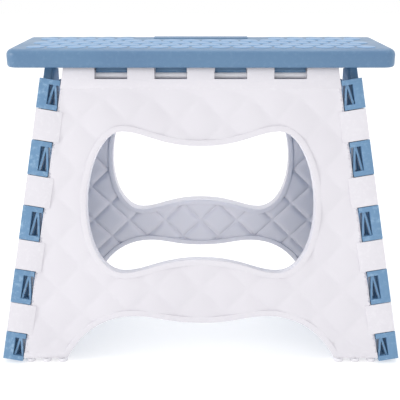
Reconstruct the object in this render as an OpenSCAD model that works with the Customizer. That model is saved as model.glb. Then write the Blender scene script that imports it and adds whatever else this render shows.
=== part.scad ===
// Folding step stool used as a portable mounting block.
// +X along the seat, -Y is the front, +Z up; the origin is on the floor under the middle.
// Both legs lean and both ends splay, so every corner and fold axis on one end
// meets the others at an apex point high above the seat.

/* [Seat] */
// Length of the seat
seat_l = 320; // [280:1:360]
// Depth of one seat half
seat_half_d = 93.5; // [85:0.5:105]
// Depth of the seat rim
rim_depth = 14.8; // [12:0.1:17]
// Wall of the seat rim
rim_t = 2.6; // [2:0.1:3.4]
// Thickness of the seat plate
plate_t = 3; // [2.4:0.1:4]
// Radius of the seat corners
seat_corner_r = 10; // [6:1:16]
// Height of the seat ridge above the floor
ridge_h = 272.8; // [268:0.1:280]
// Slope of each seat half down from the ridge
seat_slope = 3.92; // [3:0.01:5]
// Length of the raised grip at the middle of the ridge
grip_l = 86; // [60:1:110]
// Depth of the raised grip on each half
grip_d = 12; // [8:1:20]
// Height of the raised grip
grip_h = 0.8; // [0.4:0.1:1.5]

/* [Legs] */
// Lean of the front and rear panels
lean = 7; // [6.8:0.05:7.2]
// Splay of the panel sides
splay = 9.3; // [8:0.1:10]
// Height of the apex above the floor
apex_h = 865.2; // [855:0.1:875]
// Distance from the middle to a corner axis at the floor
corner_x = 164.5; // [155:0.5:175]
// Thickness of the leg panels
panel_t = 12; // [11:0.1:13]
// Thickness of the thin sheet between the panel's edge frames
sheet_t = 6.6; // [3.5:0.1:8.5]
// Setback of the sheet from the outer face
sheet_setback = 1.4; // [0.6:0.1:2]
// Width of the frame around the hole, arch and edges
frame_w = 5; // [4:0.5:7]
// Height of the panel's top edge
panel_top = 254; // [252:0.5:255]
// Height of the panel's foot above the floor
foot_gap = 3.3; // [2.6:0.1:4]
// Distance from the arch's foot to the corner axis
foot_w = 48.5; // [40:0.5:56]

/* [Ends] */
// Thickness of the folding end halves
end_t = 8; // [7:0.1:8.5]
// Outer skin of the end halves
end_skin = 2.6; // [2:0.1:3.4]
// Width of the ribs inside the end halves
rib_t = 2.4; // [2:0.1:3]
// Inward fold of the ends at rest
rest_fold = 2.5; // [2.4:0.05:2.6]
// Height of the end halves' top edge at the fold
end_top = 238; // [225:1:240]
// Height of the end halves' top edge at the corner
end_corner_top = 251; // [246:1:252]
// Height of the top corner knuckle
knuckle_top = 241; // [238:1:244]

/* [Corner knuckles] */
// Pitch of the panel's corner blocks
block_pitch = 56; // [54:0.5:58]
// Height of each corner block
block_h = 25.7; // [22:0.1:28]
// Bottom of the lowest corner block
block_start = 27; // [24:0.5:30]
// Depth of the corner notch inboard of the corner axis
notch_in = 9.6; // [8.5:0.1:11]
// Gap between neighbouring knuckles
knuckle_gap = 0.6; // [0.4:0.1:1]
// Radius of the corner barrels
barrel_r = 4.6; // [4:0.1:5]
// Thickness of the lips above and below each window
lip_t = 4.2; // [3:0.1:6]

/* [Rods] */
// Radius of the steel corner and fold rods
rod_r = 1.5; // [1.2:0.1:1.8]
// Radius of the moulded seat rods
seat_rod_r = 2.8; // [2.4:0.1:3]
// Radius of the steel rod under the ridge
centre_rod_r = 2; // [1.6:0.1:2.4]
// Running clearance around a rod
run_fit = 0.06; // [0.03:0.01:0.1]
// Play in the rear right corner, where the linkage is opened
corner_play = 0.5; // [0.4:0.05:0.7]
// Play in the rear seat knuckles, where the linkage is opened
centre_play = 0.95; // [0.85:0.05:1.1]

/* [Seat hinges] */
// Length of the line from the seat hinge to the ridge hinge
seat_link = 81; // [80:0.1:82]
// Rise of that line towards the ridge hinge
link_rise = 5.83; // [5.7:0.01:6]
// Height of the seat hinge along the panel
hinge_h = 246.14; // [246:0.01:246.3]
// Distance of the seat hinge outside the corner axis plane
hinge_out = 4; // [3.8:0.1:4.2]
// Pitch of the hinge slots
slot_pitch = 49.4; // [46:0.1:52]
// Depth of the slot's front lip below the hinge axis
slot_lip = 3.2; // [2:0.1:4]
// Width of a hinge slot
slot_w = 27; // [24:0.5:30]
// Depth of the slot below the hinge axis
slot_below = 6.2; // [6:0.1:7]
// Radius of the seat lug around its rod
lug_r = 5.3; // [4.8:0.1:5.5]
// Side clearance of a lug in its slot
lug_side = 0.6; // [0.4:0.1:1]
// Radius of the ridge barrels
ridge_barrel_r = 4.8; // [4.2:0.1:5]
// Half length of the ridge hinge
ridge_half_l = 110; // [100:1:115]
// Number of ridge knuckles
ridge_knuckles = 9; // [7:2:11]

/* [Foot pads] */
// Radius of a foot nub
nub_r = 4; // [3:0.1:5]
// Number of nubs under each foot
nub_count = 3; // [2:1:4]

/* [Hidden] */
$fn = 48;

SEAT_BLUE = [0.47, 0.66, 0.84];
PANEL_WHITE = [0.93, 0.92, 0.94];
PAD_WHITE = [0.86, 0.86, 0.87];
STEEL = [0.7, 0.7, 0.72];

reach = apex_h / cos(lean);                  // apex to floor along a panel
axis_reach = reach / cos(splay);             // apex to floor along a corner axis
apex_x = corner_x - reach * tan(splay);
sin_lean_flat = sin(lean) / cos(rest_fold);  // lean of the panels with the ends opened flat
wedge = asin(cos(splay) * sin_lean_flat);    // angle between a corner axis and its fold axis

// Angle at the corner axis between the panel and the plane of both end axes
half_span = asin(cos(splay) * sin(lean));
corner_turn = 90 + asin(sin(splay) * sin(lean) / norm([sin(splay), cos(splay) * cos(lean)]))
              - acos(tan(half_span) / tan(wedge));

// Angle of the fold axis from upright
fold_lean = atan(tan(splay) / cos(lean)) - acos(cos(wedge) / cos(half_span));
fold_reach = apex_h / cos(fold_lean);        // apex to floor along a fold axis

// Points of the end half's plane at a height above the floor: [from corner axis, along it]
function at_corner(z) = z / (cos(lean) * cos(splay));
function at_fold(z) = let (r = (apex_h - z) / cos(fold_lean)) [r * sin(wedge), axis_reach - r * cos(wedge)];

block_count = 4;
fold_inset = 0.3;                            // fold axis inside the end's outer face, at the top
slab_turn = asin((end_t - fold_inset) / at_fold(end_top)[0]);
fold_r = 4.5;
fold_clear = 0.8;
fold_seam = 0.7;
fold_pitch = 29;
fold_count = 8;
root_clear = barrel_r + 1.4;

function notch_x(h) = corner_x - h * tan(splay) - notch_in / cos(splay);

hinge_y = -(reach - hinge_h) * sin(lean) - hinge_out * cos(lean);
hinge_z = apex_h - (reach - hinge_h) * cos(lean) + hinge_out * sin(lean);
ridge_z = hinge_z + seat_link * sin(link_rise);
slots = [-1.5, -0.5, 0.5, 1.5] * slot_pitch;

// Outer edge of the bead around the hole, and edge of the arch: points and tangent handles
hole_top = [0, 192.5];
hole_top_lobe = [66, 204.7];
hole_side = [102, 135.5];
hole_low_lobe = [66, 74];
hole_low = [0, 85.7];
arch_foot = [corner_x - foot_w, foot_gap];
arch_lobe = [58, 40.9];
arch_mid = [0, 34.9];
curve_steps = 10;

function bezier(a, b, c, d, t) =
    pow(1 - t, 3) * a + 3 * pow(1 - t, 2) * t * b + 3 * (1 - t) * t * t * c + pow(t, 3) * d;
function slope_of(a, b, c, d, t) =
    3 * pow(1 - t, 2) * (b - a) + 6 * (1 - t) * t * (c - b) + 3 * t * t * (d - c);
// A stretch of curve moved sideways by grow, without its last point
function stretch(a, b, c, d, grow) =
    [for (i = [0:curve_steps - 1])
        let (t = i / curve_steps, p = bezier(a, b, c, d, t), s = slope_of(a, b, c, d, t))
        p + grow * [-s[1], s[0]] / norm(s)];
function mirrored(points) = [for (i = [len(points) - 1:-1:0]) [-points[i][0], points[i][1]]];

// Right half of the hole's bead from top middle to bottom middle; grow widens it
function hole_half(grow) = concat(
    stretch(hole_top, hole_top + [34, 0], hole_top_lobe - [20, 0], hole_top_lobe, grow),
    stretch(hole_top_lobe, hole_top_lobe + [20, 0], hole_side + [0, 38], hole_side, grow),
    stretch(hole_side, hole_side - [0, 38], hole_low_lobe + [20, 0], hole_low_lobe, grow),
    stretch(hole_low_lobe, hole_low_lobe - [20, 0], hole_low + [34, 0], hole_low, grow),
    [hole_low - [0, grow]]);
// Right half of the arch from the foot to the middle; grow raises it
function arch_half(grow) = concat(
    stretch(arch_foot, arch_foot + [-10, 20], arch_lobe + [28, 0], arch_lobe, -grow),
    stretch(arch_lobe, arch_lobe - [20, 0], arch_mid + [30, 0], arch_mid, -grow),
    [arch_mid + [0, grow]]);

module hole_shape(grow) {
    half = hole_half(grow);
    polygon(concat(half, mirrored([for (i = [1:len(half) - 2]) half[i]])));
}

module arch_shape(grow) {
    half = arch_half(grow);
    last = len(half) - 1;
    below = [[-half[0][0], -frame_w], [half[0][0], -frame_w]];
    polygon(concat(half, mirrored([for (i = [0:last - 1]) half[i]]), below));
}

module panel_shape(inset) {
    polygon([[-notch_x(foot_gap) + inset, foot_gap], [notch_x(foot_gap) - inset, foot_gap],
             [notch_x(panel_top) - inset, panel_top - inset], [-notch_x(panel_top) + inset, panel_top - inset]]);
}

// Panel frame: x along the stool, y inwards through the panel, z up along the panel
module in_panel() {
    translate([0, 0, apex_h]) rotate([-lean, 0, 0]) translate([0, 0, -reach]) children();
}

// Extrudes a drawing in the panel's plane from depth a to depth b, measured inwards
module slab(a, b) {
    translate([0, b, 0]) rotate([90, 0, 0]) linear_extrude(b - a) children();
}

// Corner frame of the front left corner: z up along the corner axis, x inboard along the panel
module in_corner() {
    translate([-apex_x, 0, apex_h]) rotate([-lean, 0, 0]) rotate([0, splay, 0])
        translate([0, 0, -axis_reach]) children();
}

// End frame of the front left end half: y towards the fold axis
module in_end() {
    in_corner() rotate([0, 0, corner_turn - 90]) children();
}

// Fold frame: z up along the fold axis
module in_fold() {
    in_end() translate([0, 0, axis_reach]) rotate([wedge, 0, 0]) translate([0, 0, -fold_reach]) children();
}

module both_sides() {
    children();
    mirror([1, 0, 0]) children();
}

module block_at(i) {
    translate([0, 0, block_start + i * block_pitch]) children();
}

// Leg panel with its frames, corner blocks and seat hinge slots
module leg_panel() {
    difference() {
        union() {
            in_panel() panel_body();
            both_sides() in_corner() corner_blocks();
        }
        both_sides() in_corner() cylinder(r = rod_r + run_fit, h = axis_reach / 3);
        in_panel() slot_cuts();
        translate([0, hinge_y, hinge_z]) rotate([0, 90, 0])
            cylinder(r = seat_rod_r + run_fit, h = seat_l, center = true);
    }
}

module panel_body() {
    face = -panel_t + sheet_setback;
    slab(face, face + sheet_t) difference() {
        panel_shape(0);
        hole_shape(-frame_w);
        arch_shape(0);
    }
    for (front_and_inset = [[-panel_t, 0], [face, frame_w]]) slab(front_and_inset[0], 0) difference() {
        panel_shape(0);
        difference() {
            panel_shape(front_and_inset[1]);
            hole_shape(0);
            arch_shape(frame_w);
            translate([-seat_l / 2, hinge_h - slot_below - frame_w]) square([seat_l, panel_top]);
            translate([-seat_l / 2, 0]) square([seat_l, foot_gap + frame_w]);
        }
        hole_shape(-frame_w);
        arch_shape(0);
    }
}

module corner_blocks() {
    for (i = [0:block_count - 1]) block_at(i) {
        translate([-end_t, -panel_t, 0]) cube([end_t + notch_in + frame_w, panel_t, block_h]);
        cylinder(r = barrel_r, h = block_h);
    }
}

// Slots for the seat lugs, each with a lip in front of the rod
module slot_cuts() {
    lip = -hinge_out - lug_r - lug_side;
    for (x = slots) {
        slab(lip, panel_t) translate([x - slot_w / 2, hinge_h - slot_below]) square([slot_w, panel_top]);
        slab(-2 * panel_t, panel_t) translate([x - slot_w / 2, hinge_h - slot_lip]) square([slot_w, panel_top]);
    }
}

module front_panel() {
    color(PANEL_WHITE) leg_panel();
}

module rear_panel() {
    color(PANEL_WHITE) mirror([0, 1, 0]) leg_panel();
}

// White moulded rod that the seat lugs clip on to
module seat_rod() {
    half = notch_x(hinge_h) - frame_w;
    translate([0, hinge_y, hinge_z]) rotate([0, 90, 0]) cylinder(r = seat_rod_r, h = 2 * half, center = true);
}

module front_seat_rod() {
    color(PANEL_WHITE) seat_rod();
}

module rear_seat_rod() {
    color(PANEL_WHITE) mirror([0, 1, 0]) seat_rod();
}

// Seat half in its own frame: the ridge edge at y = 0, the plate's top at z = 0
module in_seat() {
    translate([0, 0, ridge_h]) rotate([seat_slope, 0, 0]) children();
}

module seat_outline(inset) {
    r = seat_corner_r - inset;
    x = seat_l / 2 - seat_corner_r;
    y = seat_half_d - seat_corner_r;
    edge = seat_l / 2 - inset;
    polygon(concat(
        [for (a = [180:15:270]) [-x + r * cos(a), -y + r * sin(a)]],
        [for (a = [270:15:360]) [x + r * cos(a), -y + r * sin(a)]],
        [[edge, rim_depth], [-edge, rim_depth]]));
}
ridge_gap = 0.5;
ridge_wall = 4;
ridge_clear = 1.5;
seat_rib_d = 8;
seat_rib_x = [-2, -1, 0, 1, 2] * slot_pitch;
seat_rib_y = [-66, -22];

module seat_shell() {
    difference() {
        translate([0, 0, -rim_depth]) linear_extrude(rim_depth) seat_outline(0);
        translate([0, 0, -rim_depth - plate_t]) linear_extrude(rim_depth) intersection() {
            seat_outline(rim_t);
            translate([-seat_l / 2, -seat_half_d]) square([seat_l, seat_half_d - ridge_wall]);
        }
    }
    translate([-grip_l / 2, -grip_d - ridge_gap, -plate_t]) cube([grip_l, grip_d + rim_depth, plate_t + grip_h]);
    for (x = seat_rib_x) translate([x - rib_t / 2, seat_rib_y[0], -plate_t - seat_rib_d])
        cube([rib_t, -seat_rib_y[0] - rim_t, seat_rib_d + plate_t / 2]);
    for (y = seat_rib_y) translate([-seat_l / 2 + rim_t / 2, y - rib_t / 2, -plate_t - seat_rib_d])
        cube([seat_l - rim_t, rib_t, seat_rib_d + plate_t / 2]);
}

// Lugs that hang in the panel's slots and clip over the seat rod
lug_web_t = 5;
module seat_lug() {
    lug_w = slot_w - 2 * lug_side;
    top = ridge_h + hinge_y * tan(seat_slope) - plate_t - hinge_z;
    translate([-lug_w / 2, hinge_y, hinge_z]) {
        rotate([0, 90, 0]) cylinder(r = lug_r, h = lug_w);
        translate([0, -lug_web_t / 2, 0]) cube([lug_w, lug_web_t, top + plate_t / 2]);
    }
}

// Opening of the clip, from high at the front to just past the bottom
module lug_mouth() {
    far = 2 * lug_r;
    translate([-slot_w / 2, hinge_y, hinge_z]) rotate([90, 0, 90]) linear_extrude(slot_w)
        polygon([[0, 0], far * [-cos(mouth_rise), sin(mouth_rise)], [-far, far / 3], [-far, -far],
                 far * [sin(mouth_past), -cos(mouth_past)]]);
}
mouth_rise = 60;
mouth_past = 5;

ridge_step = 2 * ridge_half_l / ridge_knuckles;
module ridge_knuckle(i) {
    length = ridge_step - knuckle_gap;
    translate([-ridge_half_l + i * ridge_step + knuckle_gap / 2, 0, ridge_z]) {
        rotate([0, 90, 0]) cylinder(r = ridge_barrel_r, h = length);
        translate([0, -ridge_barrel_r, 0]) cube([length, ridge_barrel_r - ridge_gap, ridge_h - ridge_z - plate_t]);
    }
}

// Keeps one half's shell on its own side of the ridge
module front_side(gap) {
    intersection() {
        children();
        translate([-seat_l, -seat_l - gap, 0]) cube([2 * seat_l, seat_l, 2 * ridge_h]);
    }
}

// One seat half; first picks its ridge knuckles and play widens their bores
module seat_half(first, play) {
    difference() {
        union() {
            difference() {
                front_side(ridge_gap) in_seat() seat_shell();
                translate([0, 0, ridge_z]) rotate([0, 90, 0])
                    cylinder(r = ridge_barrel_r + ridge_clear, h = seat_l, center = true);
            }
            for (x = slots) translate([x, 0, 0]) seat_lug();
            for (i = [first:2:ridge_knuckles - 1]) ridge_knuckle(i);
        }
        for (x = slots) translate([x, 0, 0]) lug_mouth();
        translate([0, hinge_y, hinge_z]) rotate([0, 90, 0])
            cylinder(r = seat_rod_r + run_fit, h = seat_l, center = true);
        translate([0, 0, ridge_z]) rotate([0, 90, 0]) cylinder(r = centre_rod_r + play, h = seat_l, center = true);
    }
}

module seat_front() {
    color(SEAT_BLUE) seat_half(0, run_fit);
}

module seat_rear() {
    color(SEAT_BLUE) mirror([0, 1, 0]) seat_half(1, centre_play);
}

module seat_centre_rod() {
    color(STEEL) translate([0, 0, ridge_z]) rotate([0, 90, 0])
        cylinder(r = centre_rod_r, h = 2 * ridge_half_l, center = true);
}

// End half of the front left end: corner knuckles, plate and fold knuckles
module end_half(first, corner_bore, fold_bore) {
    difference() {
        union() {
            in_corner() corner_knuckles();
            in_end() rotate([0, 0, -slab_turn]) end_plate();
            in_fold() fold_knuckles(first);
        }
        in_corner() barrel_reliefs();
        in_corner() cylinder(r = rod_r + corner_bore, h = axis_reach / 3);
        in_fold() fold_reliefs(1 - first);
        in_fold() cylinder(r = rod_r + fold_bore, h = axis_reach / 3);
    }
}

foot_clear = 2;
function knuckle_z(i) = i == 0 ? foot_clear : block_start + (i - 1) * block_pitch + block_h + knuckle_gap;
function knuckle_end(i) = i == block_count ? at_corner(knuckle_top) : block_start + i * block_pitch - knuckle_gap;

// Hollow blue knuckles that fill the panel's corner notches, each with a window
module corner_knuckles() {
    for (i = [0:block_count]) {
        length = knuckle_end(i) - knuckle_z(i);
        translate([0, 0, knuckle_z(i)]) {
            cylinder(r = barrel_r, h = length);
            translate([-end_t, -panel_t, 0]) cube([end_t, panel_t + root_clear, length]);
            for (z = [0, length - lip_t]) translate([-end_t, -panel_t, z])
                cube([end_t + notch_in - knuckle_gap, panel_t, lip_t]);
            window_ribs(length);
        }
    }
}

// Pair of thin ribs that lean together across a knuckle's window
module window_ribs(length) {
    z = lip_t / 2;
    top = 0.4 * notch_in;
    for (foot = [0, 0.8 * notch_in]) slab(-panel_t + 1.5, 0)
        polygon([[foot, z], [foot + 0.7 * rib_t, z], [top + 0.7 * rib_t, length - z], [top, length - z]]);
}

// Room for the panel's corner barrels beside the plate
module barrel_reliefs() {
    for (i = [0:block_count - 1]) block_at(i) translate([-2 * end_t, -2 * panel_t, -knuckle_gap])
        cube([4 * end_t, 2 * panel_t + root_clear, block_h + 2 * knuckle_gap]);
}

// Outline of the plate in its own plane, moved inwards by inset
function plate_outline(inset) =
    let (low = at_fold(foot_clear), high = at_fold(end_top), near = inset == 0 ? 0 : frame_w + root_clear)
    [[near, at_corner(foot_clear) + inset], [low[0] / cos(slab_turn) - fold_seam - 1.5 * inset, low[1] + inset],
     [high[0] / cos(slab_turn) - fold_seam - 1.5 * inset, high[1] - inset], [max(near, 2.5 * end_t), at_corner(end_top) - inset],
     [max(near, 1.5 * end_t), at_corner(inset == 0 ? end_corner_top : end_top) - inset],
     [near, at_corner(inset == 0 ? end_corner_top : end_top) - inset]];

module end_plate() {
    translate([-end_t, 0, 0]) rotate([90, 0, 90]) {
        linear_extrude(end_skin) polygon(plate_outline(0));
        linear_extrude(end_t) {
            difference() {
                polygon(plate_outline(0));
                polygon(plate_outline(frame_w));
            }
            intersection() {
                polygon(plate_outline(0));
                end_ribs();
            }
        }
    }
}

// Ribs crossing on the inside of the plate
module end_ribs() {
    w = at_fold(0)[0];
    bay = end_top / block_count;
    for (i = [0:block_count - 1], flip = [0, 1])
        polygon([[0, (i + flip) * bay], [0, (i + flip) * bay + 1.4 * rib_t],
                 [w, (i + 1 - flip) * bay + 1.4 * rib_t], [w, (i + 1 - flip) * bay]]);
    for (i = [1:block_count - 1]) translate([0, i * bay]) square([w, rib_t]);
}

fold_low = 3;
function fold_z(i) = fold_low + i * fold_pitch;
module fold_knuckles(first) {
    for (i = [first:2:fold_count - 1]) translate([0, 0, fold_z(i) + knuckle_gap / 2]) {
        length = fold_pitch - knuckle_gap;
        cylinder(r = fold_r, h = length);
        translate([0, -fold_r - 2 * fold_clear, 0]) cube([fold_r, fold_r + 2 * fold_clear, length]);
    }
}

// Clears the plate around the other half's fold knuckles
module fold_reliefs(first) {
    for (i = [first:2:fold_count - 1]) translate([0, 0, fold_z(i) - knuckle_gap / 2]) {
        cylinder(r = fold_r + fold_clear, h = fold_pitch + knuckle_gap);
        translate([-2 * end_t, 0, 0]) cube([4 * end_t, 2 * end_t, fold_pitch + knuckle_gap]);
    }
    translate([-2 * end_t, -fold_r - fold_clear, -fold_low]) cube([4 * end_t, 4 * end_t, fold_low + fold_low]);
    translate([-2 * end_t, -fold_r - fold_clear, fold_z(fold_count)]) cube([4 * end_t, 4 * end_t, fold_pitch]);
}

module left_end_front() {
    color(SEAT_BLUE) end_half(0, run_fit, run_fit);
}

module left_end_rear() {
    color(SEAT_BLUE) mirror([0, 1, 0]) end_half(1, run_fit, run_fit);
}

module right_end_front() {
    color(SEAT_BLUE) mirror([1, 0, 0]) end_half(0, run_fit, run_fit);
}

module right_end_rear() {
    color(SEAT_BLUE) mirror([1, 0, 0]) mirror([0, 1, 0]) end_half(1, corner_play, run_fit);
}

module fold_rod() {
    in_fold() translate([0, 0, fold_low]) cylinder(r = rod_r, h = fold_count * fold_pitch);
}

module corner_rod() {
    in_corner() translate([0, 0, knuckle_z(0) + 1]) cylinder(r = rod_r, h = at_corner(knuckle_top) - knuckle_z(0) - 2);
}

module left_fold_rod() {
    color(STEEL) fold_rod();
}

module right_fold_rod() {
    color(STEEL) mirror([1, 0, 0]) fold_rod();
}

module front_left_corner_rod() {
    color(STEEL) corner_rod();
}

module front_right_corner_rod() {
    color(STEEL) mirror([1, 0, 0]) corner_rod();
}

module rear_left_corner_rod() {
    color(STEEL) mirror([0, 1, 0]) corner_rod();
}

module rear_right_corner_rod() {
    color(STEEL) mirror([1, 0, 0]) mirror([0, 1, 0]) corner_rod();
}

// Row of soft nubs under one foot, cut level with the floor
module foot_pads() {
    inner = arch_foot[0] + nub_r + 1;
    outer = notch_x(foot_gap) - nub_r - 1;
    intersection() {
        in_panel() for (i = [0:nub_count - 1])
            translate([-(inner + i * (outer - inner) / (nub_count - 1)), -panel_t / 2, -foot_gap])
                cylinder(r = nub_r, h = 2 * foot_gap);
        translate([-seat_l, -seat_l, 0]) cube([seat_l, seat_l, foot_gap - 0.05]);
    }
}

module front_left_foot_pads() {
    color(PAD_WHITE) foot_pads();
}

module front_right_foot_pads() {
    color(PAD_WHITE) mirror([1, 0, 0]) foot_pads();
}

module rear_left_foot_pads() {
    color(PAD_WHITE) mirror([0, 1, 0]) foot_pads();
}

module rear_right_foot_pads() {
    color(PAD_WHITE) mirror([1, 0, 0]) mirror([0, 1, 0]) foot_pads();
}

seat_front();
seat_rear();
seat_centre_rod();
front_panel();
rear_panel();
front_seat_rod();
rear_seat_rod();
left_end_front();
left_end_rear();
right_end_front();
right_end_rear();
left_fold_rod();
right_fold_rod();
front_left_corner_rod();
front_right_corner_rod();
rear_left_corner_rod();
rear_right_corner_rod();
front_left_foot_pads();
front_right_foot_pads();
rear_left_foot_pads();
rear_right_foot_pads();
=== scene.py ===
import math

import bpy
from mathutils import Matrix, Vector


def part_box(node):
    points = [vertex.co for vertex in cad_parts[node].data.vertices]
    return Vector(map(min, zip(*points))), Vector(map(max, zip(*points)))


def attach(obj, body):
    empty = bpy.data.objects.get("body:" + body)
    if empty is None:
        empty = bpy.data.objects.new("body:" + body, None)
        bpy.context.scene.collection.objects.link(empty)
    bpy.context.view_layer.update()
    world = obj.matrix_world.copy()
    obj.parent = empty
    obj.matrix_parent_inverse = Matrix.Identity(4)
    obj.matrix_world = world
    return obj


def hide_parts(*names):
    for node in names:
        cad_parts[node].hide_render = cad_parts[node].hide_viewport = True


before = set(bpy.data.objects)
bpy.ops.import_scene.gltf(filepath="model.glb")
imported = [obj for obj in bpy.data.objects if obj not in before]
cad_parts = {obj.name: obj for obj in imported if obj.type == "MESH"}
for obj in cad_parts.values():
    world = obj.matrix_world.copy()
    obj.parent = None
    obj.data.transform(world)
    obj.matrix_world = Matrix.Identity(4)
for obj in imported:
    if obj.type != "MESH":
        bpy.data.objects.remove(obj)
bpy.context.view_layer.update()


# Camera, lights and floor.
# The stool stands on a plain pale floor in even white light from all sides, seen
# from the front and a little above. A small lamp lifts the shade inside it.
scene = bpy.context.scene
CAMERA_PITCH = math.radians(15.08)
bpy.ops.object.camera_add(
    location=(0, -0.6837, 0.2997), rotation=(math.pi / 2 - CAMERA_PITCH, 0, 0)
)
camera = bpy.context.object
camera.name = "camera"
camera.data.lens = 64.42
camera.data.sensor_width = 36
camera.data.shift_x = -0.002
camera.data.dof.use_dof = False
scene.camera = camera


def soft_light(name, place, aim, size, power):
    """A square area light at place, facing aim."""
    bpy.ops.object.light_add(type="AREA", location=place)
    lamp = bpy.context.object
    lamp.name = name
    lamp.data.size = size
    lamp.data.energy = power
    lamp.rotation_euler = (Vector(aim) - Vector(place)).to_track_quat("-Z", "Y").to_euler()


soft_light("top_light", (0.1, 0.3, 1.6), (0, 0, 0.2), 1.2, 8)
soft_light("front_light", (-0.5, -1.7, 1.5), (0, 0, 0.2), 0.9, 1)
soft_light("low_light", (0.1, -2.2, 0.3), (0, 0, 0.13), 0.5, 0.6)
soft_light("left_light", (-1.7, -0.8, 0.75), (0, 0, 0.12), 0.6, 9)
soft_light("right_light", (1.8, 0.2, 0.5), (0, 0, 0.12), 1.0, 0.5)

bpy.ops.object.light_add(type="POINT", location=(0, -0.01, 0.15))
inner_light = bpy.context.object
inner_light.name = "inner_light"
inner_light.data.energy = 0.28
inner_light.data.shadow_soft_size = 0.05
inner_light.visible_camera = False
inner_light.visible_glossy = False

world = bpy.data.worlds.new("studio")
scene.world = world
world.use_nodes = True
world.node_tree.nodes["Background"].inputs["Color"].default_value = (1, 1, 1, 1)
world.node_tree.nodes["Background"].inputs["Strength"].default_value = 1.0
scene.view_settings.view_transform = "Standard"

bpy.ops.mesh.primitive_plane_add(size=60)
floor = bpy.context.object
floor.name = "floor"
floor_paint = bpy.data.materials.new("pale_floor")
floor_paint.use_nodes = True
floor_shader = floor_paint.node_tree.nodes["Principled BSDF"]
floor_shader.inputs["Base Color"].default_value = (0.6, 0.6, 0.6, 1)
floor_shader.inputs["Roughness"].default_value = 0.6
floor_shader.inputs["Emission Color"].default_value = (1, 1, 1, 1)
floor_shader.inputs["Emission Strength"].default_value = 0.5
floor.data.materials.append(floor_paint)


# Seat halves.
# Two light blue polypropylene mouldings with a deep rim, ribbed underneath, that
# meet at the ridge. Their edges are rounded by the mould.
class Shade:
    """A shader socket that can be used in arithmetic."""

    def __init__(self, paint, socket):
        self.paint, self.socket = paint, socket

    def _math(self, operation, *values):
        return self.paint.node("ShaderNodeMath", {"operation": operation}, dict(enumerate(values)))

    def __add__(self, other):
        return self._math("ADD", self, other)

    def __sub__(self, other):
        return self._math("SUBTRACT", self, other)

    def __rsub__(self, other):
        return self._math("SUBTRACT", other, self)

    def __mul__(self, other):
        return self._math("MULTIPLY", self, other)

    __radd__ = __add__
    __rmul__ = __mul__

    def between(self, low, high):
        """0 below low, 1 above high, straight in between."""
        return self.paint.node(
            "ShaderNodeMapRange", {}, {"Value": self, "From Min": low, "From Max": high}
        )


class Paint:
    """A node-based material on the Principled shader."""

    def __init__(self, name):
        self.material = bpy.data.materials.new(name)
        self.material.use_nodes = True
        self.tree = self.material.node_tree
        self.shader = self.tree.nodes["Principled BSDF"]
        self.place = self.node("ShaderNodeTexCoord", {}, {}, output="Object")

    def put(self, socket, value):
        """Links a shade to a socket, or sets a plain value on it."""
        if isinstance(value, Shade):
            self.tree.links.new(value.socket, socket)
        else:
            socket.default_value = value

    def node(self, kind, settings, inputs, output=0):
        """Adds a node, with its settings first and then its inputs."""
        made = self.tree.nodes.new(kind)
        for key, value in settings.items():
            setattr(made, key, value)
        for key, value in inputs.items():
            self.put(made.inputs[key], value)
        return Shade(self, made.outputs[output])

    def noise(self, scale, detail=3.0, roughness=0.5):
        return self.node(
            "ShaderNodeTexNoise",
            {},
            {"Vector": self.place, "Scale": scale, "Detail": detail, "Roughness": roughness},
        )

    def mix(self, factor, first, second):
        """A colour between two others."""
        made = self.tree.nodes.new("ShaderNodeMix")
        made.data_type = "RGBA"
        for index, value in ((0, factor), (6, first), (7, second)):
            self.put(made.inputs[index], value)
        return Shade(self, made.outputs[2])

    def set(self, **inputs):
        """Feeds the shader's own sockets."""
        for name, value in inputs.items():
            self.put(self.shader.inputs[name.replace("_", " ")], value)

    def bump(self, height, distance, strength, under=None):
        inputs = {"Height": height, "Distance": distance, "Strength": strength}
        if under is not None:
            inputs["Normal"] = under
        return self.node("ShaderNodeBump", {}, inputs)


def moulded_plastic(name, colour, pale, worn, rough, grain):
    """Satin moulded polypropylene: cloudy colour, rubbed edges and a fine mould grain."""
    paint = Paint(name)
    cloud = paint.noise(14, 4).between(0.35, 0.65)
    body = paint.mix(cloud, colour, pale)
    edge = paint.node("ShaderNodeNewGeometry", {}, {}, output="Pointiness").between(0.52, 0.6)
    scuffs = paint.noise(260, 5, 0.7).between(0.5, 0.7)
    body = paint.mix(edge * scuffs * 0.5, body, worn)
    smears = paint.noise(38, 6, 0.65).between(0.3, 0.75)
    paint.set(Base_Color=body, Roughness=rough + smears * 0.12 - edge * 0.05)
    fine = paint.noise(2600, 2)
    flow = paint.noise(55, 3)
    shallow = paint.bump(flow, 0.00025, 0.35)
    paint.set(Normal=paint.bump(fine, 0.00004, grain, shallow))
    paint.shader.inputs["IOR"].default_value = 1.49
    paint.shader.inputs["Subsurface Weight"].default_value = 0.06
    paint.shader.inputs["Subsurface Radius"].default_value = (0.002, 0.002, 0.002)
    return paint.material


# The seat halves get a darker blue than the same plastic of the ends: painted shade on the rim.
seat_plastic = moulded_plastic(
    "seat_plastic",
    (0.09, 0.182, 0.315, 1),
    (0.1, 0.2, 0.335, 1),
    (0.34, 0.51, 0.68, 1),
    0.33,
    0.35,
)


def only(piece):
    """Selects one piece and nothing else."""
    bpy.ops.object.select_all(action="DESELECT")
    bpy.context.view_layer.objects.active = piece
    piece.select_set(True)


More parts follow.
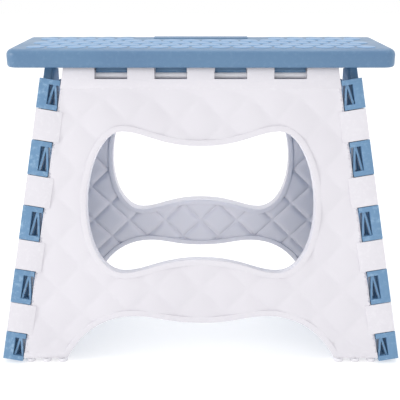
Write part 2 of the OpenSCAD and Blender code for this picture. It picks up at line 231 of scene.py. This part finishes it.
def rounded_copy(node, name, width, material, body, shape=None):
    """A copy of a CAD node with its sharp edges rounded as a mould rounds them."""
    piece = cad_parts[node].copy()
    piece.data = piece.data.copy()
    piece.name = name
    bpy.context.collection.objects.link(piece)
    piece.parent = None
    piece.matrix_world = Matrix.Identity(4)
    only(piece)
    bpy.ops.object.mode_set(mode="EDIT")
    bpy.ops.mesh.select_all(action="SELECT")
    bpy.ops.mesh.remove_doubles(threshold=1e-6)
    bpy.ops.object.mode_set(mode="OBJECT")
    if shape is not None:
        shape(piece)
    bevel = piece.modifiers.new("rounding", "BEVEL")
    bevel.limit_method = "ANGLE"
    bevel.angle_limit = math.radians(40)
    bevel.width = width
    bevel.segments = 2
    bevel.use_clamp_overlap = True
    bevel.harden_normals = False
    bpy.ops.object.modifier_apply(modifier="rounding")
    bpy.ops.object.shade_smooth_by_angle(angle=math.radians(32))
    piece.data.materials.clear()
    piece.data.materials.append(material)
    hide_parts(node)
    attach(piece, body)
    return piece


SEAT_SLOPE = math.radians(3.92)
RIDGE_HEIGHT = 0.2728
RIM_ROUND = 0.005
RIM_FOOT_ROUND = 0.0021
RIM_DEPTH = 0.0148
RIM_CORNER = 0.010
LEVEL_SLACK = 2e-5


def round_rim(piece):
    """Rounds a seat half's outer top edge, and its rim's foot a little."""
    side = -1 if piece.bound_box[0][1] < -0.01 else 1
    flat = Matrix.Rotation(side * SEAT_SLOPE, 4, "X") @ Matrix.Translation((0, 0, -RIDGE_HEIGHT))
    only(piece)
    bpy.ops.object.mode_set(mode="EDIT")
    bpy.ops.mesh.dissolve_limited(angle_limit=math.radians(0.4))
    bpy.ops.object.mode_set(mode="OBJECT")
    for level, offset, segments in ((0, RIM_ROUND, 5), (-RIM_DEPTH, RIM_FOOT_ROUND, 3)):
        bpy.ops.object.mode_set(mode="EDIT")
        bpy.ops.mesh.select_mode(type="EDGE")
        bpy.ops.mesh.select_all(action="DESELECT")
        bpy.ops.object.mode_set(mode="OBJECT")
        depth = max(abs((flat @ v.co).y) for v in piece.data.vertices)
        length = max(abs(v.co.x) for v in piece.data.vertices)
        for edge in piece.data.edges:
            a, b = (flat @ piece.data.vertices[i].co for i in edge.vertices)
            edge.select = all(
                abs(p.z - level) < LEVEL_SLACK and on_rim(p.x, abs(p.y), length, depth)
                for p in (a, b)
            )
        bpy.ops.object.mode_set(mode="EDIT")
        bpy.ops.mesh.bevel(offset=offset, segments=segments, clamp_overlap=False)
        bpy.ops.object.mode_set(mode="OBJECT")


def on_rim(x, y, length, depth):
    """Whether a point lies on the seat's outer outline, corners included."""
    if abs(abs(x) - length) < LEVEL_SLACK or abs(y - depth) < LEVEL_SLACK:
        return True
    across, along = abs(x) - (length - RIM_CORNER), y - (depth - RIM_CORNER)
    return across > 0 and along > 0 and math.hypot(across, along) > RIM_CORNER - 2e-4


for half in ("front", "rear"):
    rounded_copy(
        f"seat_{half}",
        f"seat_shell_{half}",
        0.0005,
        seat_plastic,
        f"seat_{half}",
        round_rim,
    )


# Tread cells.
# The top of each seat half carries staggered rows of low rounded cells, moulded
# in one with it, so that a sole grips.
CELL_PITCH = 0.0172
CELL_ROW = CELL_PITCH * math.sqrt(3) / 2
CELL_GAP = 0.0018
CELL_RISE = 0.0005
CELL_SINK = 0.0006
CELL_CORNER_ROUND = 0.0024
CELL_TOP_ROUND = 0.0006
TREAD_MARGIN = 0.0065
GRIP_HALF_LENGTH = 0.052
GRIP_DEPTH = 0.02
CORNER_CLEAR = 0.018
seat_low, seat_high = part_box("seat_front")

# The cells get a paler blue than the seat half they are moulded in one with: painted light on the
# top.
lit_tread_plastic = moulded_plastic(
    "lit_tread_plastic",
    (0.145, 0.285, 0.485, 1),
    (0.16, 0.31, 0.515, 1),
    (0.38, 0.56, 0.74, 1),
    0.3,
    0.5,
)


def tread_cell():
    """One low rounded six-sided cell at the origin."""
    bpy.ops.object.select_all(action="DESELECT")
    bpy.ops.mesh.primitive_cylinder_add(
        vertices=6,
        radius=(CELL_PITCH - CELL_GAP) / math.sqrt(3),
        depth=CELL_RISE + CELL_SINK,
        location=(0, 0, (CELL_RISE - CELL_SINK) / 2),
    )
    cell = bpy.context.object
    bpy.ops.object.transform_apply(location=True, rotation=True, scale=True)
    bpy.ops.object.mode_set(mode="EDIT")
    bpy.ops.mesh.select_all(action="DESELECT")
    bpy.ops.object.mode_set(mode="OBJECT")
    for edge in cell.data.edges:
        a, b = (cell.data.vertices[i].co for i in edge.vertices)
        edge.select = abs(a.z - b.z) > 1e-5
    bpy.ops.object.mode_set(mode="EDIT")
    bpy.ops.mesh.select_mode(type="EDGE")
    bpy.ops.mesh.bevel(offset=CELL_CORNER_ROUND, segments=3)
    bpy.ops.mesh.select_all(action="DESELECT")
    bpy.ops.object.mode_set(mode="OBJECT")
    top = CELL_RISE - 1e-5
    for edge in cell.data.edges:
        a, b = (cell.data.vertices[i].co for i in edge.vertices)
        edge.select = a.z > top and b.z > top
    bpy.ops.object.mode_set(mode="EDIT")
    bpy.ops.mesh.bevel(offset=CELL_TOP_ROUND, segments=2)
    bpy.ops.object.mode_set(mode="OBJECT")
    return cell


def tread_cells(half, side):
    """All the cells of one seat half; side is -1 at the front and 1 at the rear."""
    cell = tread_cell()
    depth = abs(seat_low[1])
    length = seat_high[0] - seat_low[0]
    copies = []
    row = 0
    along = TREAD_MARGIN + CELL_PITCH / 2 + 0.001
    while along + CELL_PITCH / 2 < depth - TREAD_MARGIN + 0.003:
        shift = (row % 2) * CELL_PITCH / 2
        count = int((length / 2 - TREAD_MARGIN) / CELL_PITCH) + 1
        for i in range(-count, count + 1):
            x = i * CELL_PITCH + shift
            off_end = abs(x) + CELL_PITCH / 2 > length / 2 - TREAD_MARGIN
            on_grip = along < GRIP_DEPTH and abs(x) < GRIP_HALF_LENGTH
            near_corner = abs(x) > length / 2 - CORNER_CLEAR and along > depth - CORNER_CLEAR
            if off_end or on_grip or near_corner:
                continue
            copy = cell.copy()
            copy.data = cell.data.copy()
            copy.data.transform(Matrix.Translation((x, side * along, 0)))
            bpy.context.collection.objects.link(copy)
            copies.append(copy)
        along += CELL_ROW
        row += 1
    bpy.data.objects.remove(cell)
    bpy.ops.object.select_all(action="DESELECT")
    for copy in copies:
        copy.select_set(True)
    bpy.context.view_layer.objects.active = copies[0]
    bpy.ops.object.join()
    tread = bpy.context.object
    tread.name = f"tread_cells_{half}"
    tread.data.transform(
        Matrix.Translation((0, 0, RIDGE_HEIGHT)) @ Matrix.Rotation(-side * SEAT_SLOPE, 4, "X")
    )
    only(tread)
    bpy.ops.object.shade_smooth_by_angle(angle=math.radians(35))
    tread.data.materials.clear()
    tread.data.materials.append(lit_tread_plastic)
    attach(tread, f"seat_{half}")


tread_cells("front", -1)
tread_cells("rear", 1)


# Leg panels.
# Two white polypropylene mouldings with a handle hole, an arch between the feet
# and corner blocks that take the steel corner rods.
panel_plastic = moulded_plastic(
    "panel_plastic",
    (0.655, 0.637, 0.68, 1),
    (0.68, 0.662, 0.705, 1),
    (0.88, 0.87, 0.9, 1),
    0.38,
    0.4,
)
for side in ("front", "rear"):
    panel = f"{side}_panel"
    rounded_copy(panel, f"{panel}_frame", 0.0005, panel_plastic, panel)


# Quilted faces.
# Both faces of each panel are pressed into square pillows set on their corners,
# inside the raised frame. The inner face has the deeper pillows.
LEAN = math.radians(7)
SPLAY = math.radians(9.3)
APEX = 0.8652
REACH = APEX / math.cos(LEAN)
PANEL_THICK = 0.012
FRAME_WIDTH = 0.005
OUTER_SHEET = -PANEL_THICK + 0.0014
INNER_SHEET = OUTER_SHEET + 0.0066
CORNER_X = 0.1645
NOTCH = 0.0096
FOOT_GAP = 0.0033
SLOT_FLOOR = 0.24614 - 0.0062
PILLOW = 0.041
PILLOW_NODE = (0.0205, 0.208)
PILLOWS_ACROSS = 14
STEPS = 16
SIDE_BLEND = 0.006


def bezier(a, b, c, d, t):
    """A point on a curve from a to d, with handles b and c."""
    return [
        (1 - t) ** 3 * a[i] + 3 * (1 - t) ** 2 * t * b[i] + 3 * (1 - t) * t**2 * c[i] + t**3 * d[i]
        for i in (0, 1)
    ]


def both_halves(*stretches):
    """A curve's right half from its stretches, followed by its mirror image."""
    right = [bezier(*s, i / 12) for s in stretches for i in range(12)] + [list(stretches[-1][3])]
    return right + [[-x, y] for x, y in reversed(right)]


HOLE_EDGE = both_halves(
    ((0, 0.1925), (0.034, 0.1925), (0.046, 0.2047), (0.066, 0.2047)),
    ((0.066, 0.2047), (0.086, 0.2047), (0.102, 0.1735), (0.102, 0.1355)),
    ((0.102, 0.1355), (0.102, 0.0975), (0.086, 0.074), (0.066, 0.074)),
    ((0.066, 0.074), (0.046, 0.074), (0.034, 0.0857), (0, 0.0857)),
)
ARCH_EDGE = both_halves(
    ((0.116, 0.0033), (0.106, 0.0233), (0.086, 0.0409), (0.058, 0.0409)),
    ((0.058, 0.0409), (0.038, 0.0409), (0.03, 0.0349), (0, 0.0349)),
)


def inside(x, y, outline):
    """Whether a point lies inside a closed outline."""
    odd = False
    for (x0, y0), (x1, y1) in zip(outline, outline[1:] + outline[:1]):
        if (y0 > y) != (y1 > y) and x < x0 + (y - y0) * (x1 - x0) / (y1 - y0):
            odd = not odd
    return odd


def reach_to(x, y, outline):
    """Shortest distance from a point to an outline."""
    best = 1.0
    for (x0, y0), (x1, y1) in zip(outline, outline[1:]):
        dx, dy = x1 - x0, y1 - y0
        span = dx * dx + dy * dy
        t = max(0, min(1, ((x - x0) * dx + (y - y0) * dy) / span)) if span else 0
        best = min(best, math.hypot(x - x0 - t * dx, y - y0 - t * dy))
    return best


def to_side(x, h):
    """Distance in from the panel's side edge."""
    return (CORNER_X - h * math.tan(SPLAY) - NOTCH / math.cos(SPLAY) - abs(x)) * math.cos(SPLAY)


def on_sheet(x, h, side_margin):
    """Whether a point of the panel is between the middles of its frames."""
    half = FRAME_WIDTH / 2
    if to_side(x, h) < side_margin:
        return False
    if h < FOOT_GAP + half or h > SLOT_FLOOR - half:
        return False
    if inside(x, h, HOLE_EDGE) and reach_to(x, h, HOLE_EDGE) > half:
        return False
    if inside(x, h, ARCH_EDGE) or reach_to(x, h, ARCH_EDGE) < half:
        return False
    return True


def pillow(x, h, fullness):
    """Height of the quilting at a point, from 0 in a groove to 1 on a pillow."""
    rise = 1.0
    right, up = x - PILLOW_NODE[0], h - PILLOW_NODE[1]
    for across in (right + up, right - up):
        t = abs((across / PILLOW) % 1 - 0.5) * 2
        rise *= 1 - t**fullness
    return rise


def quilt(side, face, base, rise, fullness, side_margin, thickness):
    """The quilted skin of one face; base is its sheet and rise points off it."""
    bpy.ops.object.select_all(action="DESELECT")
    bpy.ops.mesh.primitive_grid_add(
        x_subdivisions=PILLOWS_ACROSS * STEPS,
        y_subdivisions=PILLOWS_ACROSS * STEPS,
        size=PILLOWS_ACROSS * PILLOW / math.sqrt(2),
        rotation=(0, 0, math.pi / 4),
    )
    skin = bpy.context.object
    bpy.ops.object.transform_apply(location=True, rotation=True, scale=True)
    skin.data.transform(Matrix.Translation((PILLOW_NODE[0], PILLOW_NODE[1] - 2 * PILLOW, 0)))
    bpy.ops.object.mode_set(mode="EDIT")
    bpy.ops.mesh.select_all(action="DESELECT")
    bpy.ops.object.mode_set(mode="OBJECT")
    for vertex in skin.data.vertices:
        vertex.select = not on_sheet(vertex.co.x, vertex.co.y, side_margin)
    bpy.ops.object.mode_set(mode="EDIT")
    bpy.ops.mesh.select_mode(type="VERT")
    bpy.ops.mesh.delete(type="VERT")
    bpy.ops.object.mode_set(mode="OBJECT")
    mirror = 1 if side == "front" else -1
    for vertex in skin.data.vertices:
        x, h = vertex.co.x, vertex.co.y
        swell = pillow(x, h, fullness)
        if face == "outer":
            edge = min(to_side(x, h), h - FOOT_GAP - FRAME_WIDTH, SLOT_FLOOR - FRAME_WIDTH - h)
            swell = max(swell, min(1, 1 - (edge - side_margin) / SIDE_BLEND))
        depth = base + math.copysign(0.00005, rise) + rise * swell
        y = depth * math.cos(LEAN) + (h - REACH) * math.sin(LEAN)
        z = APEX + (h - REACH) * math.cos(LEAN) - depth * math.sin(LEAN)
        vertex.co = (x, mirror * y, z)
    if (rise > 0) == (mirror > 0):
        bpy.ops.object.mode_set(mode="EDIT")
        bpy.ops.mesh.select_all(action="SELECT")
        bpy.ops.mesh.flip_normals()
        bpy.ops.object.mode_set(mode="OBJECT")
    skin.name = f"{side}_quilt_{face}"
    wall = skin.modifiers.new("wall", "SOLIDIFY")
    wall.thickness = thickness
    wall.offset = -1
    bpy.ops.object.modifier_apply(modifier="wall")
    bpy.ops.object.shade_smooth_by_angle(angle=math.radians(30))
    skin.data.materials.clear()
    skin.data.materials.append(panel_plastic)
    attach(skin, f"{side}_panel")


for side in ("front", "rear"):
    quilt(side, "outer", OUTER_SHEET, -0.0013, 2.2, 0.0002, 0.0013)
    quilt(side, "inner", INNER_SHEET, 0.0026, 6, FRAME_WIDTH / 2, 0.0006)


# Folding ends.
# Each end is two light blue polypropylene mouldings, ribbed inside, hinged to
# each other down the middle and to the panels at the corners.
end_plastic = moulded_plastic(
    "end_plastic",
    (0.12, 0.24, 0.40, 1),
    (0.132, 0.26, 0.425, 1),
    (0.40, 0.57, 0.73, 1),
    0.34,
    0.35,
)
for end in ("left", "right"):
    for half in ("front", "rear"):
        node = f"{end}_end_{half}"
        rounded_copy(node, f"{node}_shell", 0.001, end_plastic, node)


# Rods.
# Drawn steel rods hold the corners, the end folds and the ridge. White moulded
# bars under the seat carry its lugs.
def drawn_steel():
    """Grey steel wire with fine lines along its length."""
    paint = Paint("drawn_steel")
    along = paint.node("ShaderNodeMapping", {}, {"Vector": paint.place, "Scale": (900, 900, 14)})
    lines = paint.node("ShaderNodeTexNoise", {}, {"Vector": along, "Scale": 1.0, "Detail": 4.0})
    paint.set(
        Base_Color=paint.mix(lines, (0.50, 0.50, 0.52, 1), (0.66, 0.66, 0.67, 1)),
        Roughness=lines * 0.2 + 0.22,
        Normal=paint.bump(lines, 0.00002, 0.4),
    )
    paint.shader.inputs["Metallic"].default_value = 1
    return paint.material


steel = drawn_steel()
bar_plastic = moulded_plastic(
    "bar_plastic", (0.80, 0.79, 0.84, 1), (0.84, 0.83, 0.87, 1), (0.9, 0.9, 0.92, 1), 0.34, 0.3
)
for name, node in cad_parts.items():
    if name.endswith("seat_rod"):
        node.data.materials[0] = bar_plastic
    elif name.endswith("_rod"):
        node.data.materials[0] = steel


# Foot nubs.
# Small soft white nubs stand in a row under each foot and grip the floor.
def soft_rubber():
    """White rubber, greyer in patches low down where it meets the floor."""
    paint = Paint("foot_rubber")
    patches = paint.noise(180, 5, 0.6).between(0.4, 0.7)
    low = paint.node("ShaderNodeSeparateXYZ", {}, {0: paint.place}, output="Z").between(0.0, 0.0015)
    paint.set(
        Base_Color=paint.mix((1 - low) * patches, (0.78, 0.77, 0.81, 1), (0.6, 0.59, 0.6, 1)),
        Roughness=patches * 0.15 + 0.55,
        Normal=paint.bump(paint.noise(1500, 2), 0.00005, 0.5),
    )
    return paint.material


rubber = soft_rubber()
for name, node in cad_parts.items():
    if name.endswith("foot_pads"):
        node.data.materials[0] = rubber
